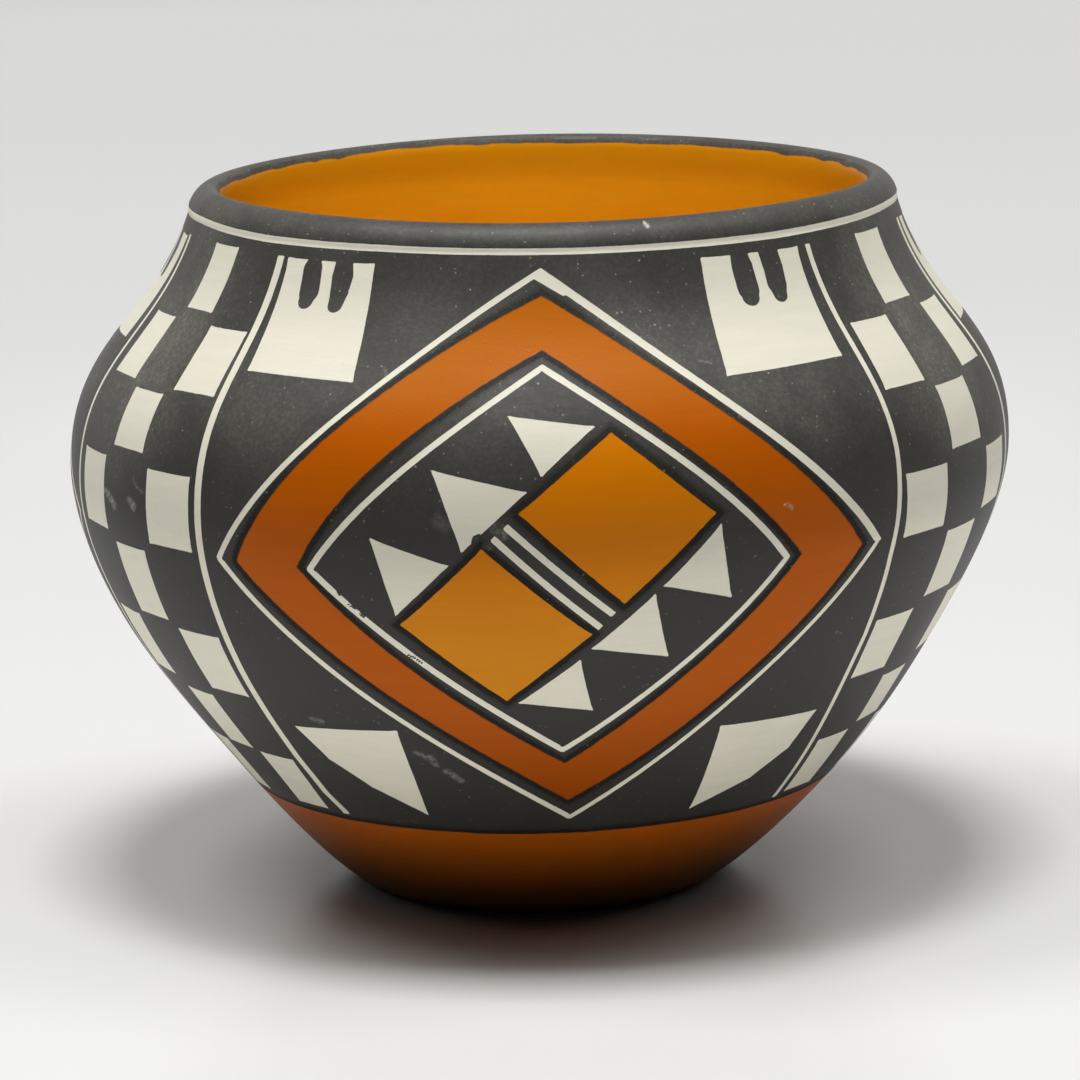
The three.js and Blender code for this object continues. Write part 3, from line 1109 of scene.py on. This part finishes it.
def product(*values):
    """All values multiplied."""
    return folded(clay_tree, "MULTIPLY", *values)


level = add(clay_tree, "ShaderNodeMapping", {"Vector": surface, "Scale": (1.0, 1.0, 9.0)}).outputs[0]
streaks = noise(70.0, 5.0, level, roughness=0.65, distortion=0.4)
mottle = noise(55.0, 4.0)
clouds = noise(75.0, 6.0, roughness=0.7, distortion=0.6)
tooth = noise(2600.0, 3.0)
fine_tooth = noise(1300.0, 2.0, roughness=0.7)
pinch = noise(28.0, 1.0)


def grain_layer(scale, share, radius):
    """Pale grains of temper: small dots in some cells of a random mesh."""
    cells = add(clay_tree, "ShaderNodeTexVoronoi", {"Vector": surface, "Scale": scale}).outputs
    pick = add(clay_tree, "ShaderNodeSeparateColor", {0: cells["Color"]}).outputs
    chosen = maths(clay_tree, "GREATER_THAN", pick[0], 1.0 - share)
    reach = maths(clay_tree, "MULTIPLY_ADD", pick[1], radius, radius * 0.5)
    away = maths(clay_tree, "DIVIDE", cells["Distance"], reach)
    dot = maths(clay_tree, "SUBTRACT", 1.0, away, use_clamp=True)
    return product(dot, chosen, ramp(clay_tree, pick[2], 0.0, 1.0, 0.4, 1.6))


grains = maths(clay_tree, "MAXIMUM", grain_layer(420.0, 0.05, 0.11), grain_layer(1200.0, 0.11, 0.24))
grains = product(grains, by_height(80, 104, 0.5, 1.2))
print("worked clay group: noises and grains")

# %% Clay surface group: dust and painted sheen, painted light and shade, and relief
# Changes with height, as two heights in mm and the value at each.
# Dust and painted sheen on the black: none below the belly, rising over the shoulder, less under the lip,
# most on the lip.
SHOULDER = ((84, 104, 0.0, 1.0), (118, 126, 1.0, 0.65), (130, 133, 1.0, 1.6))
# Painted light and shade on the slips: lighter on the lower wall, darker from the belly up, darkest under
# the lip.
PAINTED_LIGHT_AND_SHADE = ((28, 46, 1.04, 1.14), (76, 84, 1.0, 0.84), (94, 101, 1.0, 1.03), (116, 126, 1.0, 0.92))
SHOULDER_DUST_AND_SHEEN = 0.085
PATCH_SHEEN_AND_DUST = 0.14
DUST_EVERYWHERE = 0.004
SMUDGE_STRENGTH = 0.42
SCRATCH_STRENGTH = 0.6
TOOTH_DEPTH = 0.02
RELIEF_DEPTHS = ((streaks, 0.03), (pinch, 0.30), (grains, 0.03))


def on_mesh(tree, name):
    """A number that is stored on the mesh."""
    return add(tree, "ShaderNodeAttribute", attribute_name=name).outputs["Fac"]


shoulder = product(*(by_height(*change) for change in SHOULDER))
speckle = ramp(clay_tree, fine_tooth, 0.42, 0.70, 0.75, 1.5)
shoulder_clouds = ramp(clay_tree, clouds, 0.38, 0.68, 0.4, 1.0)
patch_clouds = ramp(clay_tree, clouds, 0.35, 0.6, 0.5, 1.0)
smudge_grain = ramp(clay_tree, noise(1100.0, 4.0, roughness=0.7), 0.36, 0.6)
scratch_grain = ramp(clay_tree, noise(700.0, 2.0), 0.3, 0.5)
# Dust and painted sheen from the overhead light grey the black on the shoulder and the lip.
shoulder_dust_and_sheen = product(shoulder, shoulder_clouds, SHOULDER_DUST_AND_SHEEN)
# Patches of dust, and of painted sheen at both sides.
patch_sheen_and_dust = product(on_mesh(clay_tree, "sheen_and_dust_patches"), patch_clouds, PATCH_SHEEN_AND_DUST)
dust_and_sheen = product(folded(clay_tree, "ADD", shoulder_dust_and_sheen, patch_sheen_and_dust, DUST_EVERYWHERE), speckle)
smudges = product(on_mesh(clay_tree, "smudged"), smudge_grain, SMUDGE_STRENGTH)
scratches = product(on_mesh(clay_tree, "scratched"), scratch_grain, SCRATCH_STRENGTH)
veil = maths(clay_tree, "ADD", dust_and_sheen, smudges)
painted_light_and_shade = product(*(by_height(*change) for change in PAINTED_LIGHT_AND_SHADE))

relief = product(tooth, TOOTH_DEPTH * MM)
for part, depth in RELIEF_DEPTHS:
    relief = maths(clay_tree, "MULTIPLY_ADD", part, depth * MM, relief)

for label, value in zip(CLAY_PARTS, (streaks, mottle, grains, veil, scratches, painted_light_and_shade, relief)):
    clay_tree.links.new(value, result[label])
for label, heights in CLAY_HEIGHTS.items():
    clay_tree.links.new(by_height(*heights), result[label])
print("worked clay group:", len(clay_tree.nodes), "nodes")

# %% Painted clay material
# How far each painted edge wobbles and how soft it is, in mm.
BRUSH_EDGES = {
    "cream_mm": (0.12, 0.05),
    "rust_mm": (0.3, 0.22),
    "ochre_mm": (0.2, 0.08),
    "lining_mm": (0.35, 0.12),
}
OUTLINE_EDGE = (0.5, 0.35)
OUTLINE_WIDTH = 1.7
VEIL_OFF_OUTLINE = 0.35
GRAIN_STRENGTH = 0.45
PAINT_DEPTH = 0.03


def mixed(tree, share, first, second, blend="MIX"):
    """A colour between two others."""
    inputs = {0: share, 6: first, 7: second}
    return add(tree, "ShaderNodeMix", inputs, data_type="RGBA", blend_type=blend).outputs[2]


def painted_clay(name, black_roughness, slip_roughness, gloss):
    """A material that shows the stored paints over worked clay."""
    material = bpy.data.materials.new(name)
    material.use_nodes = True
    tree = material.node_tree
    shader = tree.nodes["Principled BSDF"].inputs
    clay = add(tree, "ShaderNodeGroup", node_tree=clay_tree).outputs

    def edge(depth, wobble, softness):
        inputs = {"Depth mm": depth, "Wobble mm": wobble, "Softness mm": softness}
        return add(tree, "ShaderNodeGroup", inputs, node_tree=edge_tree).outputs["Mask"]

    def outlined(depth):
        return edge(maths(tree, "ADD", depth, OUTLINE_WIDTH), *OUTLINE_EDGE)

    depths = {paint_name: on_mesh(tree, paint_name) for paint_name in BRUSH_EDGES}
    cream, rust, ochre, lining = (edge(depths[label], *brush) for label, brush in BRUSH_EDGES.items())
    outline = maths(tree, "MAXIMUM", outlined(depths["rust_mm"]), outlined(depths["ochre_mm"]))

    tone = maths(tree, "MULTIPLY_ADD", clay["Mottle"], 0.5, 0.75)
    streak_and_painted_tone = maths(tree, "MULTIPLY_ADD", clay["Streaks"], 0.14, 0.93)
    # The slips also take the painted light and shade by height.
    streak_and_painted_tone = maths(tree, "MULTIPLY", streak_and_painted_tone, clay["Painted Light And Shade"])

    black = mixed(tree, outline, BLACK, BLACK_OUTLINE)
    black = mixed(tree, 1.0, black, tone, "MULTIPLY")
    veil_share = maths(tree, "MULTIPLY_ADD", outline, -VEIL_OFF_OUTLINE, 1.0)
    # Dust and painted sheen grey the black, less so on the outlines.
    black = mixed(tree, maths(tree, "MULTIPLY", clay["Veil"], veil_share), black, PALE_CLAY)
    slips = mixed(tree, maths(tree, "MULTIPLY", clay["Grains"], GRAIN_STRENGTH), black, PALE_CLAY)
    # Rust with painted shade low down.
    rust_with_shade = mixed(tree, clay["Rust Shade Low"], RUST, RUST_SHADED)
    # Ochre with painted sheen low down.
    ochre_with_sheen = mixed(tree, clay["Ochre Sheen Low"], OCHRE, OCHRE_SHEEN)
    coats = (
        # Rust with a painted highlight at the top.
        (rust, mixed(tree, clay["Rust Highlight Top"], rust_with_shade, RUST_HIGHLIGHT)),
        # Ochre with painted shade over the foot.
        (ochre, mixed(tree, clay["Foot"], ochre_with_sheen, SHADED_FOOT_OCHRE)),
        # A painted contact shadow at the bottom of the foot.
        (maths(tree, "MULTIPLY", clay["Contact Shadow"], ochre), CONTACT_SHADOW_OCHRE),
        # The lining with painted shade under the lip.
        (lining, mixed(tree, clay["Lining Shade Under Lip"], LINING_OCHRE, LINING_OCHRE_SHADED)),
        (cream, CREAM),
    )
    for share, coat in coats:
        slips = mixed(tree, share, slips, coat)
    any_slip = folded(tree, "MAXIMUM", rust, ochre, lining, cream)
    streaked = mixed(tree, any_slip, slips, mixed(tree, 1.0, slips, streak_and_painted_tone, "MULTIPLY"))
    scratched = mixed(tree, clay["Scratches"], streaked, PALE_CLAY)
    tree.links.new(scratched, shader["Base Color"])

    roughness = ramp(tree, any_slip, 0.0, 1.0, black_roughness, slip_roughness)
    smoothest = maths(tree, "SUBTRACT", roughness, 0.08)
    tree.links.new(maths(tree, "MULTIPLY_ADD", clay["Mottle"], 0.16, smoothest), shader["Roughness"])

    paint_height = maths(tree, "MULTIPLY", maths(tree, "SUBTRACT", 1.0, any_slip), PAINT_DEPTH * MM)
    relief = maths(tree, "ADD", paint_height, clay["Relief"])
    bump = add(tree, "ShaderNodeBump", {"Height": relief, "Distance": 1.0, "Strength": 1.0})
    tree.links.new(bump.outputs[0], shader["Normal"])
    shader["IOR"].default_value = 1.5
    shader["Specular IOR Level"].default_value = gloss
    return material


black_clay = painted_clay("black and cream on clay", 0.5, 0.45, 0.34)
slip_clay = painted_clay("rust and ochre slip on clay", 0.5, 0.36, 0.09)

# %% [markdown]
# Black and cream shine more than the coloured slips do. The two kinds of material meet in the black
# outline that runs round every rust and ochre figure, where the change can't be seen.

# %% Make, paint and place every piece
BODY = "root"
OUTLINE_MIDDLE = -0.9


def glaze(piece, slip_depth):
    """Gives the faces that lie in a coloured slip, or just beside it, the material of the slips."""
    mesh = piece.data
    mesh.materials.clear()
    mesh.materials.append(black_clay)
    mesh.materials.append(slip_clay)
    corner_points = read(mesh.loops, "vertex_index", kind=np.int32)
    first_corners = read(mesh.polygons, "loop_start", kind=np.int32)
    deepest = np.maximum.reduceat(slip_depth[corner_points], first_corners)
    mesh.polygons.foreach_set("material_index", (deepest > OUTLINE_MIDDLE).astype(np.int32))


for node_name, profile in profiles.items():
    piece = turned_piece(f"{node_name}_painted", profile, black_clay)
    glaze(piece, paint(piece))
    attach(piece, BODY)
    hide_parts(node_name)
    triangles = sum(len(face.vertices) - 2 for face in piece.data.polygons)
    print(f"{piece.name}: {len(piece.data.vertices)} points, {triangles} triangles")

# %% [markdown]
# ## Table and light
#
# The bowl stands on a white table under soft studio light. A long lamp and a small one hang overhead, a
# little in front of the bowl, and two more hang at each side, one high and one far off. No lamp stands
# low, so the belly shades the foot and the foot stands in a deep shadow. The white table sends light back
# up to the lower wall, and its smooth face dimly mirrors the foot. Three narrow lamps shine over the lip
# onto the inside, which the others hardly reach.
#
# The lamps fade towards the far end of the table. The paper there shines a little of its own, but only
# for the camera and in reflections, so that it stays light behind the bowl without lighting it.

# %% Helpers for sheets of paper
PAPER_LIGHT = (1, 1, 0.985, 1)


def sheet(name, corners, paper_name):
    """A flat sheet of paper. Returns it, with its material's node tree and its shader's inputs."""
    mesh = bpy.data.meshes.new(name)
    mesh.from_pydata(corners, [], [(0, 1, 2, 3)])
    paper = bpy.data.materials.new(paper_name)
    paper.use_nodes = True
    mesh.materials.append(paper)
    made = bpy.data.objects.new(name, mesh)
    bpy.context.collection.objects.link(made)
    return made, paper.node_tree, paper.node_tree.nodes["Principled BSDF"].inputs


def shine(tree, shader, strength):
    """Lets a sheet shine, but only for the camera and in reflections."""
    ray = tree.nodes.new("ShaderNodeLightPath").outputs
    seen = maths(tree, "MAXIMUM", ray["Is Camera Ray"], ray["Is Glossy Ray"])
    tree.links.new(maths(tree, "MULTIPLY", seen, strength), shader["Emission Strength"])
    shader["Emission Color"].default_value = PAPER_LIGHT


# %% Table
TABLE_SIZE = 8.0
TABLE_TOP = -0.1 * MM
TABLE_WHITE = 0.785
TABLE_FADE_CENTRE = (0, -0.27, 0)
TABLE_FADE = (1.0, 2.2)
TABLE_GLOW = 0.2

half = TABLE_SIZE / 2
corners = [(x, y, TABLE_TOP) for x, y in ((-half, -half), (half, -half), (half, half), (-half, half))]
table, tree, shader = sheet("table", corners, "white paper")
shader["Base Color"].default_value = (TABLE_WHITE, TABLE_WHITE, TABLE_WHITE * 0.98, 1)
shader["Roughness"].default_value = 0.28
shader["IOR"].default_value = 1.4
surface = tree.nodes.new("ShaderNodeTexCoord").outputs["Object"]
offset = add(tree, "ShaderNodeVectorMath", {0: surface, 1: TABLE_FADE_CENTRE}, operation="DISTANCE")
shine(tree, shader, ramp(tree, offset.outputs["Value"], *TABLE_FADE, 0.0, TABLE_GLOW))
print("table:", TABLE_SIZE, "m wide")

# %% Backdrop
BACKDROP_PLACE = 2.6
BACKDROP_HEIGHT = 3.0
BACKDROP_GLOW = 0.66

outline = ((-half, 0), (half, 0), (half, BACKDROP_HEIGHT), (-half, BACKDROP_HEIGHT))
backdrop, tree, shader = sheet("backdrop", [(x, BACKDROP_PLACE, z) for x, z in outline], "lit paper")
shader["Base Color"].default_value = (0, 0, 0, 1)
shader["Specular IOR Level"].default_value = 0
shine(tree, shader, BACKDROP_GLOW)
print("backdrop:", BACKDROP_PLACE, "m behind the bowl")

# %% Lamps
LAMP_TARGET = Vector((0, 0, 0.06))


def hang(lamp, place, aim):
    """Hangs a lamp at a place and points it at its aim."""
    holder = bpy.data.objects.new(lamp.name, lamp)
    holder.location = place
    holder.rotation_euler = (aim - Vector(place)).to_track_quat("-Z", "Y").to_euler()
    bpy.context.collection.objects.link(holder)
    return holder


def softbox(name, place, width, depth, power):
    """A rectangular lamp that faces the bowl."""
    lamp = bpy.data.lights.new(name, "AREA")
    lamp.shape, lamp.size, lamp.size_y, lamp.energy = "RECTANGLE", width, depth, power
    hang(lamp, place, LAMP_TARGET)


softbox("long overhead", (0, -0.7, 2.6), 2.8, 0.5, 8.5)
softbox("small overhead", (0, -0.4, 2.6), 0.7, 0.7, 43.0)
softbox("left", (-1.2, 0, 2.6), 1.0, 1.0, 24.0)
softbox("right", (1.2, 0, 2.6), 1.0, 1.0, 16.0)
softbox("far left", (-2.2, 0.2, 1.8), 1.2, 1.2, 3.0)
softbox("far right", (2.2, 0.2, 1.8), 1.2, 1.2, 4.5)

# %% Lamps for the inside
SNOOT_DISTANCE = 0.75
SNOOT_HEIGHT = 0.36
SNOOT_AIM_BEHIND = 0.06
SNOOT_AIM_HEIGHT = 0.124
SNOOT_FLATNESS = 0.19
SNOOT_SPREAD = math.radians(15)
SNOOT_BLEND = 0.3
SNOOT_SOFTNESS = 0.02


def snoot(name, turn_angle, power):
    """A narrow, flattened beam that passes over the lip and lands on the far side of the inside."""
    lamp = bpy.data.lights.new(name, "SPOT")
    lamp.energy, lamp.spot_size, lamp.spot_blend = power, SNOOT_SPREAD, SNOOT_BLEND
    lamp.shadow_soft_size = SNOOT_SOFTNESS
    around = Matrix.Rotation(math.radians(turn_angle), 3, "Z")
    place = around @ Vector((0, -SNOOT_DISTANCE, SNOOT_HEIGHT))
    aim = around @ Vector((0, SNOOT_AIM_BEHIND, SNOOT_AIM_HEIGHT))
    holder = hang(lamp, place, aim)
    holder.scale = (1, SNOOT_FLATNESS, 1)
    holder.visible_glossy = False


snoot("into the mouth", 0, 11.0)
snoot("into the mouth from the left", -55, 5.0)
snoot("into the mouth from the right", 55, 5.0)

# %% [markdown]
# The room is almost dark, so that only the lamps light the bowl. Seen past the edge of the table, it is
# pale, but for the camera alone.

# %% Room
ROOM_LIGHT = 0.01
ROOM_SEEN = 0.98
ROOM_GREY = colour(214, 214, 214)

room = bpy.data.worlds.new("room")
bpy.context.scene.world = room
room.use_nodes = True
tree = room.node_tree
background = tree.nodes["Background"].inputs
background["Color"].default_value = ROOM_GREY
ray = tree.nodes.new("ShaderNodeLightPath").outputs
strength = maths(tree, "MULTIPLY_ADD", ray["Is Camera Ray"], ROOM_SEEN, ROOM_LIGHT)
tree.links.new(strength, background["Strength"])
bpy.context.scene.view_settings.view_transform = "Standard"
print("lamps:", len(bpy.data.lights))
